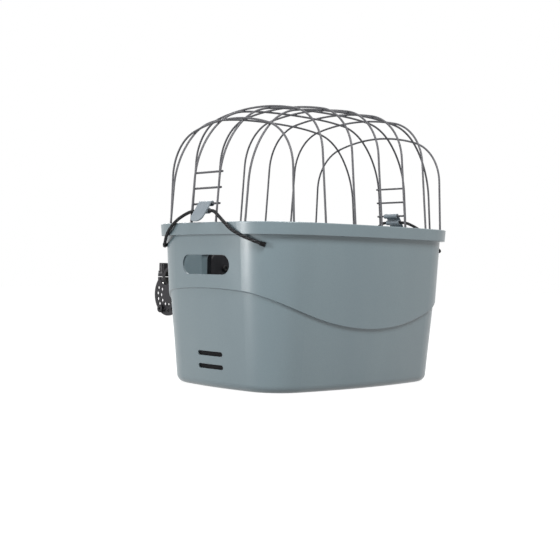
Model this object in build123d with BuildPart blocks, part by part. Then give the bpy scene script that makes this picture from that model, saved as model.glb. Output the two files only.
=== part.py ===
"""A front-mounted dog bicycle basket.

A plastic tub with a wavy step round its wall, a lift-off dome of welded wire, two clips
on elastic cords that hold the dome down, and a tilting bracket that clamps a handlebar.
X runs along the tub, -Y is its front, +Y its bicycle side, and Z = 0 is its foot.
"""
import os
from math import atan2, copysign, cos, pi, radians, sin, sqrt, tan

from build123d import *

os.makedirs("parts", exist_ok=True)

# Tub: the outline is measured on the rim's top edge
rim_length = 444.0
rim_width = 342.0
tub_height = 246.0
side_bow_radius = 850.0
end_bow_radius = 600.0
rim_corner_radius = 95.0
rim_band = 18.0
rim_draft = 1.5
rim_overhang = 9.5
rim_edge_radius = 1.2
wall = 3.0
wall_draft = 3.3
lower_draft = 5.3
wave_step = 2.3
wave_crest_depth = 96.0
wave_trough_depth = 155.0
foot_radius = 12.0

# Holes in the tub's ends
handle_length = 108.0
handle_height = 29.0
handle_depth = 62.0
vent_length = 57.0
vent_height = 7.0
vent_rise = 32.0
vent_pitch = 19.5
cord_hole_angle = 33.0
cord_hole_depth = 32.0

# Flat pad on the back wall, for the bracket
pad_width = 190.0
pad_height = 112.0
pad_depth = 98.0
pad_corner_radius = 8.0
pad_proud = 2.0
pad_wall = 4.0
pad_side_wall = 2.0

# Wire dome: heights are above the rim's top
cross_place_shares = (0.0, 0.12613, 0.25225, 0.36937)
long_pitch_share = 0.16960
wire_diameter = 3.2
base_wire_diameter = 4.0
base_wire_inset = 7.5
weld_depth = 0.2
rung_weld_depth = 0.15
leg_lean = 5.0
end_leg_lean = 2.5
dome_height = 187.0
apex_shares = (1.0, 0.995, 0.970, 0.846)
shoulder_shares = (0.959, 0.952, 0.920, 0.777)
rung_count = 3
first_rung_height = 28.0
rung_pitch = 23.5
rung_overshoot = 2.0
top_rung_inset = 0.4

# Clips, measured from the lowest rung, and their elastic cords
clip_width = 28.0
clip_thickness = 2.2
clip_lean = 34.0
clip_hook_wrap = 220.0
clip_tongue = 34.0
clip_tip_radius = 10.0
sleeve_along = 12.5
sleeve_offset = 3.9
sleeve_wall = 1.6
cord_diameter = 5.0
cord_mouth = 5.4
cord_round_leg = 1.5
cord_over_rim = 54.0
cord_rim_standoff = 3.5
cord_rim_lift = 3.2
cord_band_angle = 9.5
cord_band_standoff = 5.7
cord_band_drop = 1.0
cord_run_share = 0.45
anchor_length = 8.0
anchor_diameter = 6.8
anchor_end_wall = 1.5
peg_diameter = 5.6
peg_flange_diameter = 8.6
peg_flange = 1.5

# Bracket: the handlebar is measured from the pad, and the arms' round ends from the handlebar
bar_diameter = 25.4
bar_reach = 120.5
bar_rise = 13.4
bar_liner = 1.5
arm_disc_before_bar = 8.0
arm_disc_below_bar = 30.4
arm_disc_radius = 37.5
arm_thickness = 2.0
arm_centre_side = 67.0
arm_pivot_radius = 12.5
pivot_behind_pad = 19.0
pivot_bolt_diameter = 8.0
pivot_head_diameter = 15.0
pivot_head = 5.0
lock_reach = 28.0
lock_stud_diameter = 6.0
lock_head_diameter = 12.0
lock_head = 3.0
tilt_range = 12.0
perforation_diameter = 5.8
outer_row_radius = 28.5
outer_row_start = 23.0
outer_row_step = 20.0
outer_row_count = 9
inner_row_radius = 18.5
inner_row_start = 28.0
inner_row_step = 32.0
inner_row_count = 6
tie_place = 4
tie_row_radius = 30.5
tie_diameter = 14.0
tie_rod_diameter = 8.0
tie_head = 5.0
ear_thickness = 5.0
ear_lock_radius = 9.0
ear_root_height = 60.0
mount_plate_width = 144.0
mount_plate_height = 88.0
mount_plate_thickness = 4.0
mount_plate_corner = 10.0
inner_plate_width = 148.0
inner_plate_height = 107.0
inner_plate_thickness = 11.0
inner_plate_corner = 9.0
inner_plate_edge = 2.5
plate_screw_side = 45.0
plate_screw_rise = 30.0
screw_diameter = 6.0
screw_head_diameter = 11.0
screw_head = 3.5
screw_socket_diameter = 4.6
screw_socket = 2.0
screw_end = 2.0
nut_across_corners = 11.5
nut_height = 5.0

# Handlebar clamps
clamp_side = 50.0
clamp_width = 16.0
jaw_wall = 4.3
jaw_gap = 1.0
jaw_flange = 8.9
cap_flange = 6.0
jaw_near_reach = 36.0
jaw_far_reach = 38.0
jaw_corner_radius = 6.0
near_bolt_reach = 27.0
far_stud_reach = 28.0
lug_width = 24.0
lug_height = 28.0
knob_diameter = 16.0
knob_skirt_diameter = 19.0
knob_skirt = 4.0
knob_height = 18.0
knob_crown = 3.0
knob_flutes = 8
knob_flute_radius = 1.6
tilt_knob_diameter = 28.0
tilt_knob_height = 13.0
tilt_knob_lobes = 6
tilt_knob_scallop = 7.0
tilt_knob_scallop_depth = 3.0

# Gaps and one overrun for every cut
clearance = 0.3
running_gap = 0.05
screw_gap = 0.2
overrun = 10.0

# Places that follow from the sizes above
half_length = rim_length / 2
half_width = rim_width / 2
rim_bottom = tub_height - rim_band
ledge_top = rim_bottom + wall
lip = wall + rim_draft
cavity_inset = wave_step + wall
wave_crest = tub_height - wave_crest_depth
lowest_wave = tub_height - wave_trough_depth - overrun
pad_face = half_width - rim_overhang + pad_proud
pad_inner_face = pad_face - pad_wall
pad_centre_height = tub_height - pad_depth
mount_face = pad_face + mount_plate_thickness
plate_face = pad_inner_face - inner_plate_thickness
wire_radius = wire_diameter / 2
cord_radius = cord_diameter / 2
base_wire_height = ledge_top + base_wire_diameter / 2 + clearance
foot_height = base_wire_height + base_wire_diameter / 2 - weld_depth
cross_places = [rim_length * share for share in cross_place_shares]
long_pitch = rim_width * long_pitch_share
outer_crossing = long_pitch * 3 / 2
sides = ((-1, "left"), (1, "right"))
screw_places = [
    (x_side * plate_screw_side, pad_centre_height + z_side * plate_screw_rise)
    for x_side in (-1, 1)
    for z_side in (-1, 1)
]
arm_inside = arm_centre_side - arm_thickness / 2
arm_outside = arm_centre_side + arm_thickness / 2
ear_outside = arm_inside - clearance
ear_inside = ear_outside - ear_thickness
pivot_back = pad_face + pivot_behind_pad
pivot_height = pad_centre_height
lock_back = pivot_back + lock_reach
bar_back = pad_face + bar_reach
bar_height = pad_centre_height + bar_rise
arm_disc_back = bar_back - arm_disc_before_bar
arm_disc_height = bar_height - arm_disc_below_bar
liner_radius = bar_diameter / 2 + bar_liner
jaw_radius = liner_radius + jaw_wall
jaw_top = bar_height - jaw_gap / 2
jaw_bottom = jaw_top - jaw_flange
cap_bottom = bar_height + jaw_gap / 2
cap_top = cap_bottom + cap_flange
near_bolt_back = bar_back - near_bolt_reach
far_stud_back = bar_back + far_stud_reach
clamp_inside = clamp_side - clamp_width / 2
tie_angle = radians(outer_row_start - tie_place * outer_row_step)
tie_back = arm_disc_back + tie_row_radius * cos(tie_angle)
tie_height = arm_disc_height + tie_row_radius * sin(tie_angle)

# The outline's arc centres: the corner arc touches the side's arc and the end's arc
side_centre = Vector(0, half_width - side_bow_radius)
end_centre = Vector(half_length - end_bow_radius, 0)
centre_line = end_centre - side_centre
side_reach = side_bow_radius - rim_corner_radius
end_reach = end_bow_radius - rim_corner_radius
foot_share = (side_reach**2 - end_reach**2 + centre_line.length**2) / (2 * centre_line.length**2)
centre_normal = Vector(-centre_line.Y, centre_line.X).normalized()
corner_offset = sqrt(side_reach**2 - (foot_share * centre_line.length) ** 2)
corner_centre = side_centre + centre_line * foot_share - centre_normal * corner_offset
to_end_joint = (corner_centre - end_centre).normalized()
to_side_joint = (corner_centre - side_centre).normalized()


def wall_inset(height, extra=0.0):
    """Give how far inside the rim the upper skin lies at a height."""
    return rim_overhang + (rim_bottom - height) * tan(radians(wall_draft)) + extra


def lower_inset(height, extra=0.0):
    """Give how far inside the rim the lower wall lies at a height below the wave's crest."""
    return wall_inset(wave_crest, wave_step) + (wave_crest - height) * tan(radians(lower_draft)) + extra


def outline(inset):
    """Draw the rim's outline of eight touching arcs, moved inwards."""
    end_joint = end_centre + to_end_joint * (end_bow_radius - inset)
    side_joint = side_centre + to_side_joint * (side_bow_radius - inset)
    middle_way = (to_end_joint + to_side_joint).normalized()
    corner_middle = corner_centre + middle_way * (rim_corner_radius - inset)
    ends = ((half_length - inset, 0), (0, half_width - inset))
    for turn in (1, -1):
        ThreePointArc(
            (turn * end_joint.X, -turn * end_joint.Y),
            (turn * ends[0][0], 0),
            (turn * end_joint.X, turn * end_joint.Y),
        )
        ThreePointArc(
            (turn * end_joint.X, turn * end_joint.Y),
            (turn * corner_middle.X, turn * corner_middle.Y),
            (turn * side_joint.X, turn * side_joint.Y),
        )
        ThreePointArc(
            (turn * side_joint.X, turn * side_joint.Y),
            (0, turn * ends[1][1]),
            (-turn * side_joint.X, turn * side_joint.Y),
        )
        ThreePointArc(
            (-turn * side_joint.X, turn * side_joint.Y),
            (-turn * corner_middle.X, turn * corner_middle.Y),
            (-turn * end_joint.X, turn * end_joint.Y),
        )


def half_width_at(x, inset):
    """Give the outline's Y at a place along X."""
    if abs(x) < (side_centre + to_side_joint * (side_bow_radius - inset)).X:
        return side_centre.Y + sqrt((side_bow_radius - inset) ** 2 - x**2)
    return corner_centre.Y + sqrt((rim_corner_radius - inset) ** 2 - (abs(x) - corner_centre.X) ** 2)


def half_length_at(y, inset):
    """Give the outline's X at a place along Y."""
    if abs(y) < (end_centre + to_end_joint * (end_bow_radius - inset)).Y:
        return end_centre.X + sqrt((end_bow_radius - inset) ** 2 - y**2)
    return corner_centre.X + sqrt((rim_corner_radius - inset) ** 2 - (abs(y) - corner_centre.Y) ** 2)


def corner_point(x_side, y_side, angle, inset, height):
    """Give a point on one corner's arc, at an angle from the X axis in plan."""
    reach = rim_corner_radius - inset
    return Vector(
        x_side * (corner_centre.X + reach * cos(radians(angle))),
        y_side * (corner_centre.Y + reach * sin(radians(angle))),
        height,
    )


def tapered_block(low, high, low_inset, high_inset):
    """Loft the outline between two heights."""
    with BuildPart() as block:
        for height, inset in ((low, low_inset), (high, high_inset)):
            with BuildSketch(Plane.XY.offset(height)):
                with BuildLine():
                    outline(inset)
                make_face()
        loft(ruled=True)
    return block.part


def block_below_wave(lift):
    """Fill what lies below the wave, one long arc seen from the front."""
    crest = tub_height - wave_crest_depth + lift
    trough = tub_height - wave_trough_depth + lift
    crest_reach = half_length - wall_inset(crest)
    wave_radius = (crest_reach**2 + (crest - trough) ** 2) / (2 * (crest - trough))
    end_height = trough + wave_radius - sqrt(wave_radius**2 - half_length**2)
    with BuildPart() as block:
        with BuildSketch(Plane.XZ):
            with BuildLine():
                ThreePointArc((-half_length, end_height), (0, trough), (half_length, end_height))
                Polyline(
                    (half_length, end_height),
                    (half_length, -overrun),
                    (-half_length, -overrun),
                    (-half_length, end_height),
                )
            make_face()
        extrude(amount=rim_width, both=True)
    return block.part


# Tub: an upper skin that stands proud of the lower wall and ends in the wave
upper_block = tapered_block(lowest_wave, rim_bottom, wall_inset(lowest_wave), wall_inset(rim_bottom))
upper_space = tapered_block(
    lowest_wave, ledge_top, wall_inset(lowest_wave, wall), wall_inset(ledge_top, wall)
)
lower_block = tapered_block(0, wave_crest, lower_inset(0), lower_inset(wave_crest))
lower_space = tapered_block(wall, wave_crest, lower_inset(wall, wall), lower_inset(wave_crest, wall))
crest_block = tapered_block(
    wave_crest, rim_bottom, wall_inset(wave_crest, wave_step), wall_inset(rim_bottom, wave_step)
)
crest_space = tapered_block(
    wave_crest, ledge_top, wall_inset(wave_crest, cavity_inset), wall_inset(ledge_top, cavity_inset)
)
rim_block = tapered_block(rim_bottom, tub_height, rim_draft, 0)
rim_space = tapered_block(ledge_top, tub_height + overrun, lip, lip)
below_skin = block_below_wave(lift=0)
below_space = block_below_wave(lift=wall)

with BuildPart() as upper_skin:
    add(upper_block)
    add(below_skin, mode=Mode.SUBTRACT)

with BuildPart() as upper_room:
    add(upper_space)
    add(below_space, mode=Mode.SUBTRACT)

with BuildPart() as room:
    add(lower_space)
    fillet(room.edges().group_by(Axis.Z)[0], foot_radius - wall)
    add(crest_space)
    add(upper_room.part)
    add(rim_space)

with BuildPart() as tub:
    add(lower_block)
    fillet(tub.edges().group_by(Axis.Z)[0], foot_radius)
    add(crest_block)
    add(upper_skin.part)
    add(rim_block)
    with BuildSketch(Plane.XZ.offset(-pad_face)):
        with Locations((0, pad_centre_height)):
            RectangleRounded(pad_width, pad_height, pad_corner_radius)
    extrude(amount=half_width / 4)
    add(room.part, mode=Mode.SUBTRACT)
    with BuildSketch(Plane.XZ.offset(-pad_inner_face)):
        with Locations((0, pad_centre_height)):
            RectangleRounded(
                pad_width - 2 * pad_side_wall,
                pad_height - 2 * pad_side_wall,
                pad_corner_radius - pad_side_wall,
            )
    extrude(amount=half_width / 4, mode=Mode.SUBTRACT)
    fillet(tub.edges().group_by(Axis.Z)[-1], rim_edge_radius)
    with BuildSketch(Plane.YZ):
        with Locations((0, tub_height - handle_depth)):
            SlotOverall(handle_length, handle_height)
        for row in (0, 1):
            with Locations((0, vent_rise + row * vent_pitch)):
                SlotOverall(vent_length, vent_height)
    extrude(amount=half_length, both=True, mode=Mode.SUBTRACT)
    with BuildSketch(Plane.XZ.offset(-pad_face)):
        with Locations(*screw_places):
            Circle(screw_diameter / 2 + screw_gap)
    extrude(amount=pad_wall, mode=Mode.SUBTRACT)
    for x_side in (-1, 1):
        for y_side in (-1, 1):
            hole_height = tub_height - cord_hole_depth
            hole_mouth = corner_point(
                x_side, y_side, cord_hole_angle, wall_inset(hole_height), hole_height
            )
            hole_way = corner_point(x_side, y_side, cord_hole_angle, 0, hole_height) - hole_mouth
            with BuildSketch(Plane(origin=hole_mouth, z_dir=hole_way)):
                Circle(peg_diameter / 2 + clearance)
            extrude(amount=overrun, both=True, mode=Mode.SUBTRACT)
tub.part.label = "tub"
export_step(tub.part, "parts/tub.step")

# Base wire of the dome, lying on the tub's ledge inside the rim
with BuildPart() as base_wire:
    with BuildLine(Plane.XY.offset(base_wire_height)) as base_path:
        outline(base_wire_inset)
    base_spine = base_path.wire()
    with BuildSketch(Plane(origin=base_spine @ 0, z_dir=base_spine % 0)):
        Circle(base_wire_diameter / 2)
    sweep(path=base_spine)
base_wire.part.label = "base_wire"
export_step(base_wire.part, "parts/base_wire.step")


def crown_radius(step):
    """Give the radius of a cross hoop's crown, by its number from the middle."""
    drop = dome_height * (apex_shares[step] - shoulder_shares[step])
    return (outer_crossing**2 + drop**2) / (2 * drop)


def crown_height(step, y):
    """Give the height of a cross hoop's crown at a place along Y."""
    radius = crown_radius(step)
    return tub_height + dome_height * apex_shares[step] - radius + sqrt(radius**2 - y**2)


def arc_middle(start, heading, end):
    """Find the middle of the arc that leaves its start along a heading."""
    chord = end - start
    aside = heading - chord * (heading.dot(chord) / chord.length**2)
    half_turn = atan2(aside.length, heading.dot(chord) / chord.length)
    return start + chord * 0.5 + aside.normalized() * (chord.length / 2 * tan(half_turn / 2))


def turned(heading, chord):
    """Give an arc's heading at the far end of its chord."""
    return chord * (2 * heading.dot(chord) / chord.length**2) - heading


def draw_hoop(crossings, foot, lean):
    """Draw a hoop from foot to foot: tangent arcs over its crossings, then leaning legs."""
    heading = Vector(1, 0)
    arcs = []
    for start, end in zip(crossings, crossings[1:]):
        arcs.append((start, arc_middle(start, heading, end), end))
        heading = turned(heading, end - start)
    last = crossings[-1]
    rise = Vector(-sin(radians(lean)), cos(radians(lean)))
    reach = (foot - last).cross(rise).Z / heading.cross(rise).Z
    knee = last + heading * reach - rise * reach
    arcs.append((last, arc_middle(last, heading, knee), knee))
    Line((-foot.X, foot.Y), (-knee.X, knee.Y))
    for start, middle, end in reversed(arcs):
        ThreePointArc((-end.X, end.Y), (-middle.X, middle.Y), (-start.X, start.Y))
    for start, middle, end in arcs:
        ThreePointArc((start.X, start.Y), (middle.X, middle.Y), (end.X, end.Y))
    Line((knee.X, knee.Y), (foot.X, foot.Y))


# Cross hoops, from the left end to the right end
for number, step in enumerate((-3, -2, -1, 0, 1, 2, 3), start=1):
    hoop_place = copysign(cross_places[abs(step)], step)
    hoop_foot = Vector(half_width_at(hoop_place, base_wire_inset), foot_height)
    hoop_crossings = [
        Vector(0, crown_height(abs(step), 0)),
        Vector(outer_crossing, crown_height(abs(step), outer_crossing)),
    ]
    with BuildPart() as cross_hoop:
        with BuildLine(Plane.YZ.offset(hoop_place)) as hoop_path:
            draw_hoop(hoop_crossings, hoop_foot, end_leg_lean if abs(step) == 3 else leg_lean)
        hoop_spine = hoop_path.wire()
        with BuildSketch(Plane(origin=hoop_spine @ 0, z_dir=hoop_spine % 0)):
            Circle(wire_radius)
        sweep(path=hoop_spine)
    cross_hoop.part.label = f"cross_hoop_{number}"
    export_step(cross_hoop.part, f"parts/cross_hoop_{number}.step")

# Long hoops, welded under the cross hoops, from the front to the back
for number, step in enumerate((-3, -1, 1, 3), start=1):
    hoop_place = step * long_pitch / 2
    hoop_foot = Vector(half_length_at(hoop_place, base_wire_inset), foot_height)
    hoop_crossings = []
    crossing_heading = Vector(1, 0)
    above = None
    for crossing, cross_place in enumerate(cross_places):
        over = Vector(cross_place, crown_height(crossing, hoop_place))
        if above is not None:
            crossing_heading = turned(crossing_heading, over - above)
        above = over
        across_slope = hoop_place / sqrt(crown_radius(crossing) ** 2 - hoop_place**2)
        along_slope = crossing_heading.Y / crossing_heading.X
        stack = (wire_diameter - weld_depth) * sqrt(1 + along_slope**2 + across_slope**2)
        hoop_crossings.append(over - Vector(0, stack))
    with BuildPart() as long_hoop:
        with BuildLine(Plane.XZ.offset(-hoop_place)) as hoop_path:
            draw_hoop(hoop_crossings, hoop_foot, leg_lean)
        hoop_spine = hoop_path.wire()
        with BuildSketch(Plane(origin=hoop_spine @ 0, z_dir=hoop_spine % 0)):
            Circle(wire_radius)
        sweep(path=hoop_spine)
    long_hoop.part.label = f"long_hoop_{number}"
    export_step(long_hoop.part, f"parts/long_hoop_{number}.step")


def leg_reach(height):
    """Give how far out the middle long hoops' legs stand at a height."""
    return half_length_at(long_pitch / 2, base_wire_inset) - (height - foot_height) * tan(radians(leg_lean))


def rung_reach(height):
    """Give how far out a rung lies, welded inside the legs."""
    return leg_reach(height) - (wire_diameter - rung_weld_depth) / cos(radians(leg_lean))


# Ladder rungs at both ends: each clip turns on its lowest rung, and the top one meets the legs' bend
for side, side_name in sides:
    with BuildPart() as rungs:
        with BuildSketch(Plane.XZ):
            for rung in range(rung_count):
                rung_height = tub_height + first_rung_height + rung * rung_pitch
                bend_inset = top_rung_inset if rung == rung_count - 1 else 0
                with Locations((side * (rung_reach(rung_height) - bend_inset), rung_height)):
                    Circle(wire_radius)
        extrude(amount=long_pitch / 2 + rung_overshoot, both=True)
    rungs.part.label = f"rungs_{side_name}"
    export_step(rungs.part, f"parts/rungs_{side_name}.step")

# Clips: a hook over the rung, a tongue that leans out over the rim, a sleeve for the cord
clip_height = tub_height + first_rung_height
clip_reach = rung_reach(clip_height)
hook_inner_radius = wire_radius + clearance
hook_radius = hook_inner_radius + clip_thickness / 2
tongue_way = Vector(sin(radians(clip_lean)), -cos(radians(clip_lean)))
tongue_normal = Vector(cos(radians(clip_lean)), sin(radians(clip_lean)))
tongue_start = tongue_normal * hook_radius
tongue_middle = tongue_start + tongue_way * (clip_tongue / 2)
sleeve_place = tongue_start + tongue_way * sleeve_along - tongue_normal * sleeve_offset
sleeve_bore_radius = sleeve_offset - clip_thickness / 2
hook_arc = CenterArc((0, 0), hook_radius, clip_lean, clip_hook_wrap)

for side, side_name in sides:
    clip_plane = Plane(
        origin=(side * clip_reach, 0, clip_height), x_dir=(side, 0, 0), z_dir=(0, -side, 0)
    )
    tongue_line = Axis(
        (side * clip_reach, 0, clip_height), (side * tongue_way.X, 0, tongue_way.Y)
    )
    thickness_line = Axis((0, 0, 0), (side * tongue_normal.X, 0, tongue_normal.Y))
    with BuildPart() as clip:
        with BuildSketch(clip_plane) as clip_face:
            SlotArc(hook_arc, clip_thickness)
            with Locations((tongue_middle.X, tongue_middle.Y)):
                Rectangle(clip_tongue, clip_thickness, rotation=clip_lean - 90)
            with Locations((sleeve_place.X, sleeve_place.Y)):
                Circle(sleeve_bore_radius + sleeve_wall)
                Circle(sleeve_bore_radius, mode=Mode.SUBTRACT)
        extrude(amount=clip_width / 2, both=True)
        fillet(clip.edges().filter_by(thickness_line).sort_by(tongue_line)[-2:], clip_tip_radius)
    clip.part.label = f"clip_{side_name}"
    export_step(clip.part, f"parts/clip_{side_name}.step")

# Cord anchors: a barrel that grips the cord's end, on a peg through the wall
anchor_height = tub_height - cord_hole_depth
anchor_inset = wall_inset(anchor_height) - anchor_diameter / 2 - clearance
sleeve_reach = clip_reach + sleeve_place.X
sleeve_height = clip_height + sleeve_place.Y
leg_crossing_height = sleeve_height - cord_round_leg
leg_crossing_reach = (
    leg_reach(leg_crossing_height)
    + (wire_radius + clearance + cord_radius) / cos(radians(leg_lean))
    + cord_radius / 3
)


def cord_half(side, y_side):
    """Give the route from a clip's sleeve to one anchor."""
    return [
        Vector(side * sleeve_reach, y_side * (clip_width / 2 + cord_mouth), sleeve_height),
        Vector(
            side * leg_crossing_reach, y_side * (long_pitch / 2 + cord_round_leg), leg_crossing_height
        ),
        Vector(
            side * (half_length_at(cord_over_rim, 0) + cord_rim_standoff),
            y_side * cord_over_rim,
            tub_height + cord_rim_lift,
        ),
        corner_point(
            side, y_side, cord_band_angle, rim_draft - cord_band_standoff, rim_bottom - cord_band_drop
        ),
        corner_point(side, y_side, cord_hole_angle, anchor_inset, anchor_height),
    ]


for side, side_name in sides:
    with BuildPart() as anchors:
        for y_side in (-1, 1):
            anchor_route = cord_half(side, y_side)
            anchor_middle = anchor_route[-1]
            anchor_way = (anchor_middle - anchor_route[-2]).normalized()
            outwards = corner_point(side, y_side, cord_hole_angle, 0, anchor_height) - anchor_middle
            wall_place = corner_point(
                side, y_side, cord_hole_angle, wall_inset(anchor_height, wall + clearance), anchor_height
            )
            peg_length = (wall_place - anchor_middle).length
            with BuildSketch(Plane(origin=anchor_middle, z_dir=anchor_way)):
                Circle(anchor_diameter / 2)
            extrude(amount=anchor_length / 2, both=True)
            with BuildSketch(Plane(origin=wall_place, z_dir=outwards)):
                Circle(peg_diameter / 2)
            extrude(amount=peg_length)
            with BuildSketch(Plane(origin=wall_place, z_dir=outwards)):
                Circle(peg_flange_diameter / 2)
            extrude(amount=-peg_flange)
            bore_end = anchor_middle + anchor_way * (anchor_length / 2 - anchor_end_wall)
            with BuildSketch(Plane(origin=bore_end, z_dir=anchor_way)):
                Circle(cord_radius + running_gap)
            extrude(amount=-anchor_length, mode=Mode.SUBTRACT)
    anchors.part.label = f"cord_anchors_{side_name}"
    export_step(anchors.part, f"parts/cord_anchors_{side_name}.step")

# Elastic cords: each runs from anchor to anchor through its clip's sleeve
for side, side_name in sides:
    route = []
    for y_side in (-1, 1):
        half = cord_half(side, y_side)
        cord_way = (half[-1] - half[-2]).normalized()
        cord_end = half[-1] + cord_way * (anchor_length / 2 - anchor_end_wall - clearance)
        half[-1] = cord_end
        route = route[::-1] + half if y_side > 0 else half
    radii = []
    for before, at, after in zip(route, route[1:], route[2:]):
        turn = radians((at - before).get_angle(after - at))
        shorter_run = min((at - before).length, (after - at).length)
        radii.append(cord_run_share * shorter_run / tan(turn / 2))
    with BuildPart() as cord:
        with BuildLine() as cord_path:
            FilletPolyline(*route, radius=radii)
        cord_spine = cord_path.wire()
        with BuildSketch(Plane(origin=cord_spine @ 0, z_dir=cord_spine % 0)):
            Circle(cord_radius)
        sweep(path=cord_spine)
    print(
        f"cord_{side_name}: length {cord_spine.length:.1f}, radii",
        [round(radius, 1) for radius in radii],
        f"volume {cord.part.volume:.0f}, section times length",
        f"{pi * cord_radius**2 * cord_spine.length:.0f}",
    )
    cord.part.label = f"cord_{side_name}"
    export_step(cord.part, f"parts/cord_{side_name}.step")

# Backing plate inside the tub, behind the pad
with BuildPart() as inner_plate:
    with BuildSketch(Plane.XZ.offset(-pad_inner_face)):
        with Locations((0, pad_centre_height)):
            RectangleRounded(inner_plate_width, inner_plate_height, inner_plate_corner)
        with Locations(*screw_places):
            Circle(screw_diameter / 2 + screw_gap, mode=Mode.SUBTRACT)
    extrude(amount=inner_plate_thickness)
    fillet(inner_plate.faces().sort_by(Axis.Y)[0].outer_wire().edges(), inner_plate_edge)
inner_plate.part.label = "inner_plate"
export_step(inner_plate.part, "parts/inner_plate.step")

# Mount plate on the pad, with an ear at each side for the pivot and the tilt lock
with BuildPart() as mount_plate:
    with BuildSketch(Plane.XZ.offset(-mount_face)):
        with Locations((0, pad_centre_height)):
            RectangleRounded(mount_plate_width, mount_plate_height, mount_plate_corner)
        with Locations(*screw_places):
            Circle(screw_diameter / 2 + screw_gap, mode=Mode.SUBTRACT)
    extrude(amount=mount_plate_thickness)
    for side, side_name in sides:
        with BuildSketch(Plane.YZ.offset(side * ear_inside)) as ear_face:
            with Locations((mount_face, pad_centre_height)):
                Rectangle(
                    mount_plate_thickness, ear_root_height, align=(Align.MAX, Align.CENTER)
                )
            with Locations((pivot_back, pivot_height)):
                Circle(arm_pivot_radius)
            with Locations((lock_back, pivot_height)):
                Circle(ear_lock_radius)
            make_hull()
            with Locations((pivot_back, pivot_height)):
                Circle(pivot_bolt_diameter / 2 + running_gap, mode=Mode.SUBTRACT)
            with Locations((lock_back, pivot_height)):
                Circle(lock_stud_diameter / 2 + running_gap, mode=Mode.SUBTRACT)
        extrude(amount=side * ear_thickness)
mount_plate.part.label = "mount_plate"
export_step(mount_plate.part, "parts/mount_plate.step")

# Screws through both plates and the pad, and their nuts
with BuildPart() as plate_screws:
    with BuildSketch(Plane.XZ.offset(-plate_face)):
        with Locations(*screw_places):
            Circle(screw_head_diameter / 2)
    extrude(amount=screw_head)
    fillet(plate_screws.edges().group_by(Axis.Y)[0], screw_head / 3)
    with BuildSketch(Plane.XZ.offset(screw_head - plate_face)):
        with Locations(*screw_places):
            RegularPolygon(screw_socket_diameter / 2, 6)
    extrude(amount=-screw_socket, mode=Mode.SUBTRACT)
    with BuildSketch(Plane.XZ.offset(-plate_face)):
        with Locations(*screw_places):
            Circle(screw_diameter / 2)
    extrude(amount=plate_face - mount_face - nut_height - screw_end)
plate_screws.part.label = "plate_screws"
export_step(plate_screws.part, "parts/plate_screws.step")

with BuildPart() as plate_nuts:
    with BuildSketch(Plane.XZ.offset(-mount_face)):
        with Locations(*screw_places):
            RegularPolygon(nut_across_corners / 2, 6)
            Circle(screw_diameter / 2 + running_gap, mode=Mode.SUBTRACT)
    extrude(amount=-nut_height)
plate_nuts.part.label = "plate_nuts"
export_step(plate_nuts.part, "parts/plate_nuts.step")

# Perforated side arms: they pivot on the ears and carry the handlebar clamps
lock_arc = CenterArc((0, 0), lock_reach, -tilt_range, 2 * tilt_range)
outer_row = [
    (outer_row_radius, outer_row_start - place * outer_row_step)
    for place in range(outer_row_count)
    if place != tie_place
]
inner_row = [(inner_row_radius, inner_row_start - place * inner_row_step) for place in range(inner_row_count)]
perforations = [
    (arm_disc_back + radius * cos(radians(angle)), arm_disc_height + radius * sin(radians(angle)))
    for radius, angle in outer_row + inner_row
]
notch_radius = liner_radius + clearance

for side, side_name in sides:
    with BuildPart() as arm:
        with BuildSketch(Plane.YZ.offset(side * arm_inside)) as arm_face:
            with Locations((pivot_back, pivot_height)):
                Circle(arm_pivot_radius)
            with Locations((arm_disc_back, arm_disc_height)):
                Circle(arm_disc_radius)
            make_hull()
            with Locations((bar_back, bar_height)):
                Circle(notch_radius, mode=Mode.SUBTRACT)
                Rectangle(
                    2 * notch_radius,
                    arm_disc_radius,
                    align=(Align.CENTER, Align.MIN),
                    mode=Mode.SUBTRACT,
                )
            with Locations((pivot_back, pivot_height)):
                Circle(pivot_bolt_diameter / 2 + running_gap, mode=Mode.SUBTRACT)
                SlotArc(lock_arc, lock_stud_diameter + 2 * screw_gap, mode=Mode.SUBTRACT)
            with Locations(*perforations):
                Circle(perforation_diameter / 2, mode=Mode.SUBTRACT)
            with Locations((tie_back, tie_height)):
                Circle(tie_rod_diameter / 2 + running_gap, mode=Mode.SUBTRACT)
        extrude(amount=side * arm_thickness)
    arm.part.label = f"arm_{side_name}"
    export_step(arm.part, f"parts/arm_{side_name}.step")

# Pivot bolts and nuts, and the lock studs with their heads inside the ears
with BuildPart() as pivot_bolts:
    for side, side_name in sides:
        with BuildSketch(Plane.YZ.offset(side * (arm_outside + clearance))):
            with Locations((pivot_back, pivot_height)):
                RegularPolygon(pivot_head_diameter / 2, 6)
        extrude(amount=side * pivot_head)
        with BuildSketch(Plane.YZ.offset(side * (arm_outside + clearance))):
            with Locations((pivot_back, pivot_height)):
                Circle(pivot_bolt_diameter / 2)
        extrude(amount=side * (ear_inside - pivot_head - screw_end - arm_outside - clearance))
pivot_bolts.part.label = "pivot_bolts"
export_step(pivot_bolts.part, "parts/pivot_bolts.step")

with BuildPart() as pivot_nuts:
    for side, side_name in sides:
        with BuildSketch(Plane.YZ.offset(side * ear_inside)):
            with Locations((pivot_back, pivot_height)):
                RegularPolygon(pivot_head_diameter / 2, 6)
                Circle(pivot_bolt_diameter / 2 + running_gap, mode=Mode.SUBTRACT)
        extrude(amount=-side * pivot_head)
pivot_nuts.part.label = "pivot_nuts"
export_step(pivot_nuts.part, "parts/pivot_nuts.step")

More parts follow.
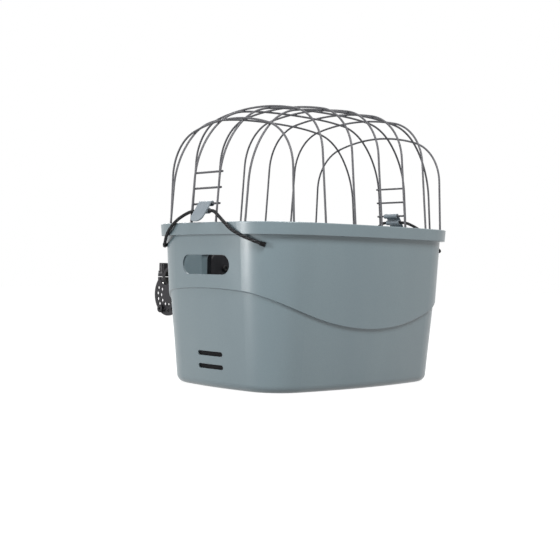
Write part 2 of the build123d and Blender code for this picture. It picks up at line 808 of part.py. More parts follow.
tilt_knob_face = arm_outside + clearance
tilt_knob_end = tilt_knob_face + tilt_knob_height
with BuildPart() as lock_studs:
    for side, side_name in sides:
        with BuildSketch(Plane.YZ.offset(side * ear_inside)):
            with Locations((lock_back, pivot_height)):
                Circle(lock_head_diameter / 2)
        extrude(amount=-side * lock_head)
        with BuildSketch(Plane.YZ.offset(side * ear_inside)):
            with Locations((lock_back, pivot_height)):
                Circle(lock_stud_diameter / 2)
        extrude(amount=side * (tilt_knob_end - knob_crown - clearance - ear_inside))
lock_studs.part.label = "lock_studs"
export_step(lock_studs.part, "parts/lock_studs.step")

# Tilt knobs: scalloped hand knobs that squeeze the arms against the ears
for side, side_name in sides:
    with BuildPart() as tilt_knob:
        with BuildSketch(Plane.YZ.offset(side * tilt_knob_face)):
            with Locations((lock_back, pivot_height)):
                Circle(tilt_knob_diameter / 2)
                with PolarLocations(
                    tilt_knob_diameter / 2 + tilt_knob_scallop - tilt_knob_scallop_depth,
                    tilt_knob_lobes,
                ):
                    Circle(tilt_knob_scallop, mode=Mode.SUBTRACT)
        extrude(amount=side * tilt_knob_height)
        fillet(tilt_knob.edges().group_by(Axis.X)[-1 if side > 0 else 0], knob_crown / 2)
        with BuildSketch(Plane.YZ.offset(side * tilt_knob_face)):
            with Locations((lock_back, pivot_height)):
                Circle(lock_stud_diameter / 2 + running_gap)
        extrude(amount=side * (tilt_knob_height - knob_crown), mode=Mode.SUBTRACT)
    tilt_knob.part.label = f"tilt_knob_{side_name}"
    export_step(tilt_knob.part, f"parts/tilt_knob_{side_name}.step")

# Tie across the two arms: a spacer tube on a long bolt
with BuildPart() as tie_spacer:
    with BuildSketch(Plane.YZ):
        with Locations((tie_back, tie_height)):
            Circle(tie_diameter / 2)
            Circle(tie_rod_diameter / 2 + screw_gap, mode=Mode.SUBTRACT)
    extrude(amount=arm_inside, both=True)
tie_spacer.part.label = "tie_spacer"
export_step(tie_spacer.part, "parts/tie_spacer.step")

with BuildPart() as tie_bolt:
    with BuildSketch(Plane.YZ.offset(-arm_outside)):
        with Locations((tie_back, tie_height)):
            Circle(tie_diameter / 2)
    extrude(amount=-tie_head)
    fillet(tie_bolt.edges().group_by(Axis.X)[0], tie_head / 4)
    with BuildSketch(Plane.YZ.offset(-arm_outside - tie_head)):
        with Locations((tie_back, tie_height)):
            RegularPolygon(tie_rod_diameter / 3, 6)
    extrude(amount=tie_head / 2, mode=Mode.SUBTRACT)
    with BuildSketch(Plane.YZ.offset(-arm_outside)):
        with Locations((tie_back, tie_height)):
            Circle(tie_rod_diameter / 2)
    extrude(amount=2 * arm_outside + tie_head + screw_end)
tie_bolt.part.label = "tie_bolt"
export_step(tie_bolt.part, "parts/tie_bolt.step")

with BuildPart() as tie_nut:
    with BuildSketch(Plane.YZ.offset(arm_outside)):
        with Locations((tie_back, tie_height)):
            RegularPolygon(tie_diameter / 2, 6)
            Circle(tie_rod_diameter / 2 + running_gap, mode=Mode.SUBTRACT)
    extrude(amount=tie_head)
tie_nut.part.label = "tie_nut"
export_step(tie_nut.part, "parts/tie_nut.step")

# Lower clamp jaws, each welded to its arm by a lug
for side, side_name in sides:
    with BuildPart() as jaw:
        with BuildSketch(Plane.YZ.offset(side * clamp_inside)):
            with Locations((bar_back, bar_height)):
                Circle(jaw_radius)
                Rectangle(
                    2 * jaw_radius, jaw_radius + jaw_gap / 2, align=(Align.CENTER, Align.MIN),
                    mode=Mode.SUBTRACT,
                )
            with Locations((bar_back, jaw_top)):
                Rectangle(
                    2 * jaw_radius, jaw_gap, align=(Align.CENTER, Align.MIN), mode=Mode.SUBTRACT
                )
                Rectangle(jaw_near_reach, jaw_flange, align=(Align.MAX, Align.MAX))
                Rectangle(jaw_far_reach, jaw_flange, align=(Align.MIN, Align.MAX))
        extrude(amount=side * clamp_width)
        fillet(
            jaw.edges().filter_by(Axis.Z).group_by(Axis.Y)[0]
            + jaw.edges().filter_by(Axis.Z).group_by(Axis.Y)[-1],
            jaw_corner_radius,
        )
        with BuildSketch(Plane.YZ.offset(side * clamp_inside)):
            with Locations((arm_disc_back, bar_height - liner_radius)):
                Rectangle(lug_width, lug_height, align=(Align.CENTER, Align.MAX))
        extrude(amount=side * (arm_inside - clamp_inside))
        with BuildSketch(Plane.YZ.offset(side * clamp_inside)):
            with Locations((bar_back, bar_height)):
                Circle(liner_radius)
        extrude(amount=side * (arm_inside - clamp_inside), mode=Mode.SUBTRACT)
        with BuildSketch(Plane.XY.offset(jaw_top)):
            with Locations((side * clamp_side, near_bolt_back)):
                Circle(screw_diameter / 2 + clearance)
            with Locations((side * clamp_side, far_stud_back)):
                Circle(screw_diameter / 2 + running_gap)
        extrude(amount=-jaw_flange, mode=Mode.SUBTRACT)
    jaw.part.label = f"jaw_{side_name}"
    export_step(jaw.part, f"parts/jaw_{side_name}.step")

# Clamp caps over the handlebar
for side, side_name in sides:
    with BuildPart() as cap:
        with BuildSketch(Plane.YZ.offset(side * clamp_inside)):
            with Locations((bar_back, bar_height)):
                Circle(jaw_radius)
            with Locations((bar_back, cap_bottom)):
                Rectangle(
                    2 * jaw_radius, jaw_radius + jaw_gap, align=(Align.CENTER, Align.MAX),
                    mode=Mode.SUBTRACT,
                )
                Rectangle(jaw_near_reach, cap_flange, align=(Align.MAX, Align.MIN))
                Rectangle(jaw_far_reach, cap_flange, align=(Align.MIN, Align.MIN))
            with Locations((bar_back, bar_height)):
                Circle(liner_radius, mode=Mode.SUBTRACT)
        extrude(amount=side * clamp_width)
        fillet(
            cap.edges().filter_by(Axis.Z).group_by(Axis.Y)[0]
            + cap.edges().filter_by(Axis.Z).group_by(Axis.Y)[-1],
            jaw_corner_radius,
        )
        with BuildSketch(Plane.XY.offset(cap_bottom)):
            with Locations((side * clamp_side, near_bolt_back)):
                Circle(screw_diameter / 2 + running_gap)
            with Locations((side * clamp_side, far_stud_back)):
                Circle(screw_diameter / 2 + clearance)
        extrude(amount=cap_flange, mode=Mode.SUBTRACT)
    cap.part.label = f"cap_{side_name}"
    export_step(cap.part, f"parts/cap_{side_name}.step")

# Rubber liners between the clamps and the handlebar
with BuildPart() as jaw_liners:
    for side, side_name in sides:
        with BuildSketch(Plane.YZ.offset(side * clamp_inside)):
            with Locations((bar_back, bar_height)):
                Circle(liner_radius)
                Circle(bar_diameter / 2, mode=Mode.SUBTRACT)
            with Locations((bar_back, jaw_top)):
                Rectangle(
                    2 * liner_radius, 2 * liner_radius, align=(Align.CENTER, Align.MIN),
                    mode=Mode.SUBTRACT,
                )
        extrude(amount=side * clamp_width)
jaw_liners.part.label = "jaw_liners"
export_step(jaw_liners.part, "parts/jaw_liners.step")

for side, side_name in sides:
    with BuildPart() as cap_liner:
        with BuildSketch(Plane.YZ.offset(side * clamp_inside)):
            with Locations((bar_back, bar_height)):
                Circle(liner_radius)
                Circle(bar_diameter / 2, mode=Mode.SUBTRACT)
            with Locations((bar_back, cap_bottom)):
                Rectangle(
                    2 * liner_radius, 2 * liner_radius, align=(Align.CENTER, Align.MAX),
                    mode=Mode.SUBTRACT,
                )
        extrude(amount=side * clamp_width)
    cap_liner.part.label = f"cap_liner_{side_name}"
    export_step(cap_liner.part, f"parts/cap_liner_{side_name}.step")

# Clamp bolts on the tub's side of the bar, and studs on its far side
bolt_end = jaw_bottom - nut_height - screw_end
for side, side_name in sides:
    with BuildPart() as cap_bolt:
        with BuildSketch(Plane.XY.offset(cap_top)):
            with Locations((side * clamp_side, near_bolt_back)):
                RegularPolygon(nut_across_corners / 2, 6)
        extrude(amount=screw_head)
        with BuildSketch(Plane.XY.offset(cap_top)):
            with Locations((side * clamp_side, near_bolt_back)):
                Circle(screw_diameter / 2)
        extrude(amount=bolt_end - cap_top)
    cap_bolt.part.label = f"cap_bolt_{side_name}"
    export_step(cap_bolt.part, f"parts/cap_bolt_{side_name}.step")

knob_face = cap_top + clearance
knob_top = knob_face + knob_height
for side, side_name in sides:
    with BuildPart() as clamp_stud:
        with BuildSketch(Plane.XY.offset(bolt_end)):
            with Locations((side * clamp_side, far_stud_back)):
                Circle(screw_diameter / 2)
        extrude(amount=knob_top - knob_crown - clearance - bolt_end)
    clamp_stud.part.label = f"clamp_stud_{side_name}"
    export_step(clamp_stud.part, f"parts/clamp_stud_{side_name}.step")

# Nuts under the jaws, for the bolts and the studs
with BuildPart() as jaw_nuts:
    with BuildSketch(Plane.XY.offset(jaw_bottom)):
        for side, side_name in sides:
            for nut_back in (near_bolt_back, far_stud_back):
                with Locations((side * clamp_side, nut_back)):
                    RegularPolygon(nut_across_corners / 2, 6)
                    Circle(screw_diameter / 2 + running_gap, mode=Mode.SUBTRACT)
    extrude(amount=-nut_height)
jaw_nuts.part.label = "jaw_nuts"
export_step(jaw_nuts.part, "parts/jaw_nuts.step")

# Clamp knobs: fluted grips with a wider skirt
for side, side_name in sides:
    with BuildPart() as clamp_knob:
        with BuildSketch(Plane.XY.offset(knob_face + knob_skirt)):
            with Locations((side * clamp_side, far_stud_back)):
                Circle(knob_diameter / 2)
                with PolarLocations(knob_diameter / 2 + knob_flute_radius / 2, knob_flutes):
                    Circle(knob_flute_radius, mode=Mode.SUBTRACT)
        extrude(amount=knob_height - knob_skirt)
        fillet(clamp_knob.edges().group_by(Axis.Z)[-1], knob_crown / 3)
        with BuildSketch(Plane.XY.offset(knob_face)):
            with Locations((side * clamp_side, far_stud_back)):
                Circle(knob_skirt_diameter / 2)
        extrude(amount=knob_skirt)
        with BuildSketch(Plane.XY.offset(knob_face)):
            with Locations((side * clamp_side, far_stud_back)):
                Circle(screw_diameter / 2 + running_gap)
        extrude(amount=knob_height - knob_crown, mode=Mode.SUBTRACT)
    clamp_knob.part.label = f"clamp_knob_{side_name}"
    export_step(clamp_knob.part, f"parts/clamp_knob_{side_name}.step")
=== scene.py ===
# %% [markdown]
# # A basket for a dog
# The basket is a plastic tub with a wavy step round its wall, a lift-off dome of welded wire, two
# clips on elastic cords that hold the dome down, and a black tilting bracket with two clamps.
# The imported model already holds every rigid piece at its true size, so this lesson dresses that
# model. It gives each piece its finish, and adds what a solid model leaves out: the braid of the
# cords and the weld beads of the dome. It also lays a dark sheet behind the tub's vents, as
# painted shade that makes the slots look black.

import random
from math import cos, pi, radians, sin, sqrt

import bmesh
import bpy
from mathutils import Matrix, Vector


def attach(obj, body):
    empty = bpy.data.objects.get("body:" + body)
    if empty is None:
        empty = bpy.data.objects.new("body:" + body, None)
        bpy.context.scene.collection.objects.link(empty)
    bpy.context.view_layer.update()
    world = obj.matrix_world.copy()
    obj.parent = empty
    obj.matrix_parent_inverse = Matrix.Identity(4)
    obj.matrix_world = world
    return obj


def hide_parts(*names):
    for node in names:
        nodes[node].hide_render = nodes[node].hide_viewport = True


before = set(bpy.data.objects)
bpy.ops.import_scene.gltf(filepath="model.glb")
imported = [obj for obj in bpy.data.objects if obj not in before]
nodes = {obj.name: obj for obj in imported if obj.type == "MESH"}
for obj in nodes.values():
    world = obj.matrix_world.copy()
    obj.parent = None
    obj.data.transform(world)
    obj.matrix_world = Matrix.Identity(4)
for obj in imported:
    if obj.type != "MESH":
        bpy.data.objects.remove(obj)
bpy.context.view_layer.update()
scene = bpy.context.scene
SIDES = ((-1, "left"), (1, "right"))

# %% [markdown]
# ## The camera
# The photograph was taken a little above the rim's height, from the basket's front left corner,
# with a long lens. A long lens keeps upright edges nearly parallel. The camera is built from
# three directions: right, up, and back towards the photographer. It is rolled by one degree,
# because the rim in the photograph tilts by that much.

# %% Place the camera
CAMERA_PLACE = Vector((-1.2099, -1.2350, 0.1810))
CAMERA_BACK = Vector((-0.6828, -0.7305, 0.0114)).normalized()
CAMERA_RIGHT = Vector((0.7306, -0.6828, 0.0)).normalized()
CAMERA_ROLL = radians(0.971)
SENSOR_WIDTH = 36.0
LENS_LENGTH = 68.86

camera_up = CAMERA_BACK.cross(CAMERA_RIGHT).normalized()
rolled_right = CAMERA_RIGHT * cos(CAMERA_ROLL) + camera_up * sin(CAMERA_ROLL)
rolled_up = camera_up * cos(CAMERA_ROLL) - CAMERA_RIGHT * sin(CAMERA_ROLL)
camera_turn = Matrix((rolled_right, rolled_up, CAMERA_BACK)).transposed()
camera = bpy.data.objects.new("camera", bpy.data.cameras.new("camera"))
camera.matrix_world = Matrix.Translation(CAMERA_PLACE) @ camera_turn.to_4x4()
camera.data.sensor_width = SENSOR_WIDTH
camera.data.lens = LENS_LENGTH
scene.collection.objects.link(camera)
scene.camera = camera
print("camera at", tuple(CAMERA_PLACE), "looking along", tuple(-CAMERA_BACK))

# %% [markdown]
# ## The elastic cords
# One elastic cord runs along each end of the basket. It starts in a small black barrel on the
# tub's corner, climbs over the rim, passes through the clip's sleeve and comes down the same way
# on the other side. Elastic under tension runs straight between the places that it bends round,
# so a smooth spline with one control point at each bend is the honest way to draw it. The two
# halves of a cord are mirror images, so only the back half is written down, from the clip to the
# back barrel.

# %% Draw the line of each cord
CORD_DIAMETER = 0.005
CORD_LENGTH = 0.2739
LINE_STEPS = 72
HALF_ROUTE = (
    (0.213619, 0.019400, 0.263134),
    (0.216719, 0.030502, 0.261634),
    (0.223065, 0.054000, 0.249200),
    (0.220512, 0.082340, 0.227000),
    (0.195555, 0.115785, 0.213314),
)


def cord_route(side):
    """Give the cord's control points from its front barrel to its back barrel."""
    front = [(side * x, -y, z) for x, y, z in reversed(HALF_ROUTE)]
    back = [(side * x, y, z) for x, y, z in HALF_ROUTE]
    return front + back


def smooth_line(points):
    """Give close points along one smooth open spline with these control points."""
    curve = bpy.data.curves.new("cord_line", "CURVE")
    curve.dimensions = "3D"
    curve.resolution_u = LINE_STEPS
    spline = curve.splines.new("NURBS")
    spline.points.add(len(points) - 1)
    for control, point in zip(spline.points, points):
        control.co = (*point, 1.0)
    spline.order_u = 3
    spline.use_endpoint_u = True
    line = bpy.data.objects.new("cord_line", curve)
    scene.collection.objects.link(line)
    drawn = bpy.data.meshes.new_from_object(line)
    path = [vertex.co.copy() for vertex in drawn.vertices]
    bpy.data.meshes.remove(drawn)
    bpy.data.objects.remove(line)
    bpy.data.curves.remove(curve)
    return path


paths = {side: smooth_line(cord_route(side)) for side, _ in SIDES}
for side, path in paths.items():
    length = sum((after - before).length for before, after in zip(path, path[1:]))
    print("path of", len(path), "points,", length, "m")

# %% [markdown]
# ## The braid's relief
# The elastic's jacket is braided from strands that wind both ways round it. Seen close, each
# strand stands a little proud where it passes over another. So the cord is a tube whose rings
# follow the line, and each point of a ring lies further in between the strands. Six strands each
# way need about thirty points round, and the tube stays light. The UV map runs along and round
# the cord, so the colour of the strands can follow the same winding later.

# %% Wind the strands round a cord
BRAID_PITCH = 0.0135
BRAID_TURNS = CORD_LENGTH / BRAID_PITCH
BRAID_STRANDS = 6
BRAID_RELIEF = 0.00028
RING_POINTS = 30


def strand_height(along, around):
    """Give 1 on a strand's ridge and 0 between strands, from places along and round the cord."""
    turns = along * BRAID_TURNS
    rising = sin((turns + around) * BRAID_STRANDS * 2 * pi)
    falling = sin((turns - around) * BRAID_STRANDS * 2 * pi)
    return (max(rising, falling) + 1) / 2


def braid_rings(shape, path):
    """Set one ring of points across the path at each of its points."""
    across = Vector((0, 0, 1))
    last = len(path) - 1
    rings = []
    for number, point in enumerate(path):
        heading = (path[min(number + 1, last)] - path[max(number - 1, 0)]).normalized()
        across = (across - heading * across.dot(heading)).normalized()
        beside = heading.cross(across)
        ring = []
        for step in range(RING_POINTS):
            around = step / RING_POINTS
            low = BRAID_RELIEF * (1 - strand_height(number / last, around))
            out = across * cos(2 * pi * around) + beside * sin(2 * pi * around)
            ring.append(shape.verts.new(point + out * (CORD_DIAMETER / 2 - low)))
        rings.append(ring)
    return rings


def braided_tube(name, path):
    """Build a closed tube along a path, with the strands' relief and a UV map."""
    shape = bmesh.new()
    uv_layer = shape.loops.layers.uv.new("braid")
    rings = braid_rings(shape, path)
    last = len(path) - 1
    corners = ((0, 0), (0, 1), (1, 1), (1, 0))
    for number, (ring, following) in enumerate(zip(rings, rings[1:])):
        for step in range(RING_POINTS):
            after = (step + 1) % RING_POINTS
            face = shape.faces.new((ring[step], ring[after], following[after], following[step]))
            for loop, (ahead, over) in zip(face.loops, corners):
                loop[uv_layer].uv = ((number + ahead) / last, (step + over) / RING_POINTS)
    shape.faces.new(rings[0])
    shape.faces.new(rings[-1])
    bmesh.ops.recalc_face_normals(shape, faces=shape.faces)
    mesh = bpy.data.meshes.new(name)
    shape.to_mesh(mesh)
    shape.free()
    mesh.shade_smooth()
    tube = bpy.data.objects.new(name, mesh)
    scene.collection.objects.link(tube)
    return tube


# %% [markdown]
# Each cord stands for its plain solid and rides on the tub. It is stretched tight from one barrel
# to the other, so it is about as long as its line and does not sag.

# %% Make the two cords
cords = []
for side, side_name in SIDES:
    cord = braided_tube(f"elastic_cord_{side_name}", paths[side])
    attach(cord, "tub")
    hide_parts(f"cord_{side_name}")
    cords.append(cord)
    print(cord.name, len(cord.data.polygons), "faces")

# %% [markdown]
# ## A small kit for finishes
# Every finish is a principled shader with a little noise in its colour, its roughness and its
# surface. The helpers below keep each recipe short. Nearly all patterns read Object coordinates,
# which are metres here, so a noise scale of 1000 gives grains about a millimetre wide. Colours
# are written as a screen shows them, from 0 to 255.

# %% Screen colours


def colour(red, green, blue):
    """Turn a screen colour from 0 to 255 into the linear light that shaders work in."""
    linear = []
    for part in (red, green, blue):
        part = part / 255
        linear.append(part / 12.92 if part <= 0.04045 else ((part + 0.055) / 1.055) ** 2.4)
    return (*linear, 1.0)


print("middle grey is", colour(128, 128, 128)[0], "in linear light")

# %% Helpers for shader nodes
NOISE_LOW, NOISE_HIGH = 0.3, 0.7
BEVEL_SAMPLES = 6
FLAT_COSINE, EDGE_COSINE = 0.995, 0.90


class Finish:
    """A material and short ways to add nodes to it."""

    def __init__(self, name):
        self.material = bpy.data.materials.new(name)
        self.material.use_nodes = True
        self.tree = self.material.node_tree
        self.shader = self.tree.nodes["Principled BSDF"]
        self.place = self.tree.nodes.new("ShaderNodeTexCoord").outputs["Object"]

    def link(self, source, target):
        """Join a socket or set a plain value."""
        if isinstance(source, bpy.types.NodeSocket):
            self.tree.links.new(source, target)
        else:
            target.default_value = source

    def give(self, name, value):
        """Give the shader's own input of this name a pattern or a plain value."""
        self.link(value, self.shader.inputs[name])

    def add(self, kind, **inputs):
        """Add a node. Inputs are given by name, with spaces written as underscores."""
        node = self.tree.nodes.new(kind)
        for name, value in inputs.items():
            self.link(value, node.inputs[name.replace("_", " ")])
        return node

    def noise(self, scale, detail=2.0, roughness=0.5, stretch=None):
        """Noise from 0 to 1, finer where the scale is larger."""
        place = self.place
        if stretch:
            mapping = self.add("ShaderNodeMapping", Vector=place, Scale=stretch)
            place = mapping.outputs["Vector"]
        node = self.add(
            "ShaderNodeTexNoise", Vector=place, Scale=scale, Detail=detail, Roughness=roughness
        )
        return node.outputs["Fac"]

    def spread(self, value, low, high, to_low=0.0, to_high=1.0):
        """Stretch a part of a value's range to another range, and cut what lies outside."""
        node = self.add(
            "ShaderNodeMapRange",
            Value=value, From_Min=low, From_Max=high, To_Min=to_low, To_Max=to_high,
        )
        return node.outputs["Result"]

    def math(self, operation, first, second=0.0):
        """One sum on two values."""
        node = self.tree.nodes.new("ShaderNodeMath")
        node.operation = operation
        self.link(first, node.inputs[0])
        self.link(second, node.inputs[1])
        return node.outputs["Value"]

    def blend(self, share, first, second):
        """Mix two colours."""
        node = self.tree.nodes.new("ShaderNodeMix")
        node.data_type = "RGBA"
        self.link(share, node.inputs["Factor"])
        self.link(first, node.inputs["A"])
        self.link(second, node.inputs["B"])
        return node.outputs["Result"]

    def tone(self, pattern, dark, light, low=0.35, high=0.65):
        """Let the colour drift between two screen colours as a pattern rises from low to high."""
        return self.blend(self.spread(pattern, low, high), colour(*dark), colour(*light))

    def worn(self, edge, share, base, pale):
        """Lay a share of a paler screen colour over the base near the edges."""
        return self.blend(self.math("MULTIPLY", edge, share), base, colour(*pale))

    def sheen(self, pattern, smooth, rough):
        """Let the roughness drift between two values with a noise."""
        self.give("Roughness", self.spread(pattern, NOISE_LOW, NOISE_HIGH, smooth, rough))

    def rounded(self, radius):
        """Give the surface's normal as if its edges were rounded off by this radius."""
        node = self.add("ShaderNodeBevel", Radius=radius)
        node.samples = BEVEL_SAMPLES
        return node.outputs["Normal"]

    def near_edge(self, rounded):
        """Give 1 where the rounded normal turns away from the plain one, and 0 on flat ground."""
        plain = self.tree.nodes.new("ShaderNodeNewGeometry").outputs["Normal"]
        dot = self.tree.nodes.new("ShaderNodeVectorMath")
        dot.operation = "DOT_PRODUCT"
        self.link(rounded, dot.inputs[0])
        self.link(plain, dot.inputs[1])
        return self.spread(dot.outputs["Value"], FLAT_COSINE, EDGE_COSINE)

    def bump(self, height, distance, strength=1.0, normal=None):
        """Raise the surface by a height map, in metres."""
        node = self.add("ShaderNodeBump", Height=height, Distance=distance, Strength=strength)
        if normal is not None:
            self.link(normal, node.inputs["Normal"])
        self.give("Normal", node.outputs["Normal"])


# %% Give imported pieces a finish


def dress(material, *names):
    """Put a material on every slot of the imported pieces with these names."""
    for name in names:
        for slot in nodes[name].material_slots:
            slot.material = material
        if not nodes[name].material_slots:
            nodes[name].data.materials.append(material)
    print(material.name, "on", len(names), "pieces")


# %% [markdown]
# ## Moulded plastic for the tub
# The tub is injection moulded in a blue-grey plastic with a satin skin. Up close such a skin has
# a fine leather-like grain from the mould, very faint streaks where the plastic flowed, and
# edges that are polished and a little lighter from handling. The rounded normal softens the
# sharp edges of the solid in the render.

# %% Finish of the tub
tub_finish = Finish("moulded_blue_grey_plastic")
tub_round = tub_finish.rounded(0.0009)
flow_marks = tub_finish.noise(7.0, detail=3.0, stretch=(1.0, 1.0, 0.35))
fine_grain = tub_finish.noise(900.0, detail=3.0, roughness=0.6)
tub_base = tub_finish.tone(flow_marks, (118, 136, 143), (126, 144, 150))
speckles = tub_finish.spread(fine_grain, 0.42, 0.6, 0.0, 0.35)
tub_speckled = tub_finish.blend(speckles, tub_base, colour(108, 125, 132))
tub_worn = tub_finish.worn(
    tub_finish.near_edge(tub_round), 0.35, tub_speckled, (164, 177, 182)
)
tub_finish.give("Base Color", tub_worn)
tub_finish.sheen(tub_finish.noise(60.0, detail=4.0), 0.28, 0.34)
tub_finish.give("Specular IOR Level", 0.9)
tub_finish.bump(fine_grain, distance=0.00006, strength=0.5, normal=tub_round)
dress(tub_finish.material, "tub")

# %% [markdown]
# ## Coated wire for the dome
# The dome is bent and spot welded from steel wire, then coated in graphite grey. The coating
# shows small dull patches along the wire, so one noise drives both its colour and its roughness.
# A low metallic share keeps a wire dark in the middle and bright at its edges, as the photograph
# shows.

# %% Finish of the wires
wire_finish = Finish("graphite_coated_wire")
wire_patches = wire_finish.noise(120.0, detail=4.0, roughness=0.6)
wire_finish.give("Base Color", wire_finish.tone(wire_patches, (82, 82, 86), (96, 96, 99)))
wire_finish.sheen(wire_patches, 0.42, 0.52)
wire_finish.give("Metallic", 0.35)
wire_finish.bump(wire_finish.noise(900.0), distance=0.00001, strength=0.3)
wire_names = [name for name in nodes if "hoop" in name or "rungs" in name or name == "base_wire"]
dress(wire_finish.material, *wire_names)

# %% [markdown]
# ## Plastic for the clips
# Each clip is moulded in a slightly lighter plastic than the tub, with a finer grain. It could
# share the tub's finish, but a recipe of its own lets its colour and grain follow the photograph.

# %% Finish of the clips
clip_finish = Finish("clip_plastic")
clip_round = clip_finish.rounded(0.0006)
clip_grain = clip_finish.noise(1100.0)
clip_base = clip_finish.tone(
    clip_finish.noise(40.0, detail=3.0), (128, 139, 147), (138, 148, 155)
)
clip_worn = clip_finish.worn(clip_finish.near_edge(clip_round), 0.4, clip_base, (168, 178, 184))
clip_finish.give("Base Color", clip_worn)
clip_finish.sheen(clip_grain, 0.30, 0.40)
clip_finish.bump(clip_grain, distance=0.00004, strength=0.5, normal=clip_round)
dress(clip_finish.material, "clip_left", "clip_right")

# %% [markdown]
# ## Powder coat on the bracket
# The arms, plates and clamps are steel under a black powder coat. The powder melts into a
# slightly lumpy skin, and it chips first along sharp edges. One noise makes the lumps. A coarser
# one breaks up the worn edge, so that it shows as small chips and not as an even line.

# %% Finish of the bracket's steel
bracket_finish = Finish("black_powder_coat")
bracket_round = bracket_finish.rounded(0.0006)
bracket_texture = bracket_finish.noise(1400.0, detail=3.0, roughness=0.65)
bracket_base = bracket_finish.tone(
    bracket_finish.noise(30.0, detail=3.0), (34, 33, 37), (46, 44, 49), low=0.3, high=0.7
)
bracket_chips = bracket_finish.spread(
    bracket_finish.noise(180.0, detail=4.0), 0.5, 0.68, 0.0, 0.7
)
bracket_worn = bracket_finish.worn(
    bracket_finish.near_edge(bracket_round), bracket_chips, bracket_base, (128, 128, 130)
)
bracket_finish.give("Base Color", bracket_worn)
bracket_finish.sheen(bracket_texture, 0.42, 0.58)
bracket_finish.give("Specular IOR Level", 0.35)
bracket_finish.bump(bracket_texture, distance=0.00012, strength=0.6, normal=bracket_round)
dress(
    bracket_finish.material,
    "arm_left", "arm_right", "jaw_left", "jaw_right", "cap_left", "cap_right",
    "mount_plate", "tie_spacer", "tie_bolt", "tie_nut",
)

# %% [markdown]
# ## Zinc on the bolts and nuts
# The bolts, nuts and studs are bright zinc plated. Such parts show fine marks of their turning,
# which are too small to model, so a noise drawn out along Y and Z makes the roughness streaky.

# %% Finish of the bolts and nuts
zinc_finish = Finish("zinc_plated_steel")
zinc_streaks = zinc_finish.noise(500.0, detail=3.0, stretch=(1.0, 0.15, 0.15))
zinc_base = zinc_finish.tone(
    zinc_finish.noise(160.0, detail=3.0), (176, 178, 180), (200, 199, 194)
)
zinc_finish.give("Base Color", zinc_base)
zinc_finish.give("Metallic", 1.0)
zinc_finish.sheen(zinc_streaks, 0.26, 0.42)
zinc_finish.bump(
    zinc_streaks, distance=0.00003, strength=0.5, normal=zinc_finish.rounded(0.0004)
)
dress(
    zinc_finish.material,
    "plate_nuts", "pivot_bolts", "pivot_nuts", "lock_studs", "jaw_nuts",
    "cap_bolt_left", "cap_bolt_right", "clamp_stud_left", "clamp_stud_right",
)

# %% [markdown]
# ## Black oxide on the plate's screws
# The four screws that hold the bracket's plate are blackened steel. They are nearly black but
# still metallic, and the edges of their heads are rubbed paler.

# %% Finish of the plate's screws
oxide_finish = Finish("black_oxide_steel")
oxide_round = oxide_finish.rounded(0.0003)
oxide_base = oxide_finish.tone(oxide_finish.noise(200.0, detail=3.0), (34, 34, 36), (48, 47, 47))
oxide_worn = oxide_finish.worn(
    oxide_finish.near_edge(oxide_round), 0.5, oxide_base, (120, 118, 114)
)
oxide_finish.give("Base Color", oxide_worn)
oxide_finish.give("Metallic", 0.7)
oxide_finish.sheen(oxide_finish.noise(700.0), 0.34, 0.46)
oxide_finish.bump(
    oxide_finish.noise(1200.0), distance=0.00003, strength=0.5, normal=oxide_round
)
dress(oxide_finish.material, "plate_screws")

# %% [markdown]
# ## Black nylon
# The knobs and the backing plate are moulded black nylon. The barrels that hold the cords' ends
# look darker and duller in the photograph. One function makes both finishes, because only their
# colours and their gloss differ.

# %% Finish of the nylon knobs, backing plate and barrels


def nylon(name, dark, light, gloss):
    """Give a black moulded nylon with a fine grain and slightly paler edges."""
    finish = Finish(name)
    rounded = finish.rounded(0.0005)
    grain = finish.noise(1300.0)
    base = finish.tone(finish.noise(70.0, detail=3.0), dark, light)
    finish.give("Base Color", finish.worn(finish.near_edge(rounded), 0.3, base, (78, 78, 80)))
    finish.sheen(grain, 0.36, 0.5)
    finish.give("Specular IOR Level", gloss)
    finish.bump(grain, distance=0.00005, strength=0.5, normal=rounded)
    return finish.material


dress(
    nylon("black_nylon", dark=(24, 23, 26), light=(36, 34, 37), gloss=0.38),
    "tilt_knob_left", "tilt_knob_right", "clamp_knob_left", "clamp_knob_right", "inner_plate",
)
dress(
    nylon("matt_black_nylon", dark=(8, 8, 9), light=(16, 15, 17), gloss=0.12),
    "cord_anchors_left", "cord_anchors_right",
)

# %% [markdown]
# ## Rubber liners
# Soft liners keep the clamps from scratching what they hold. Rubber is a very dark grey and
# dull, so its roughness is high, and its edges don't shine.

# %% Finish of the rubber liners
rubber_finish = Finish("liner_rubber")
rubber_grain = rubber_finish.noise(800.0, detail=3.0)
rubber_base = rubber_finish.tone(
    rubber_finish.noise(50.0, detail=3.0), (30, 30, 31), (44, 43, 42)
)
rubber_finish.give("Base Color", rubber_base)
rubber_finish.sheen(rubber_grain, 0.68, 0.85)
rubber_finish.bump(rubber_grain, distance=0.0001, strength=0.5)
dress(rubber_finish.material, "jaw_liners", "cap_liner_left", "cap_liner_right")
print("finishes:", [m.name for m in bpy.data.materials if m.users])

# %% [markdown]
# ## The braid on the cords
# The elastic is a rubber core in a tight polyester braid: black strands with a grey tracer strand
# that shows as short slanted flecks. The tube's UV map has U along the cord and V round it, so
# two sets of slanted stripes that cross lie just on the strands of the relief. The black is
# lighter on the strands' ridges and darker in the grooves between them, which is painted shade.

# %% Finish of the elastic braid
TRACERS_PER_TURN = 3.0
TRACER_START = 0.70
braid_finish = Finish("elastic_braid")
braid_place = braid_finish.tree.nodes.new("ShaderNodeTexCoord").outputs["UV"]
braid_axes = braid_finish.add("ShaderNodeSeparateXYZ", Vector=braid_place)
turns_along = braid_finish.math("MULTIPLY", braid_axes.outputs["X"], BRAID_TURNS)


def braid_slant(way):
    """Count the turns of a strand that winds one way round the cord."""
    turns_round = braid_finish.math("MULTIPLY", braid_axes.outputs["Y"], float(way))
    return braid_finish.math("ADD", turns_along, turns_round)


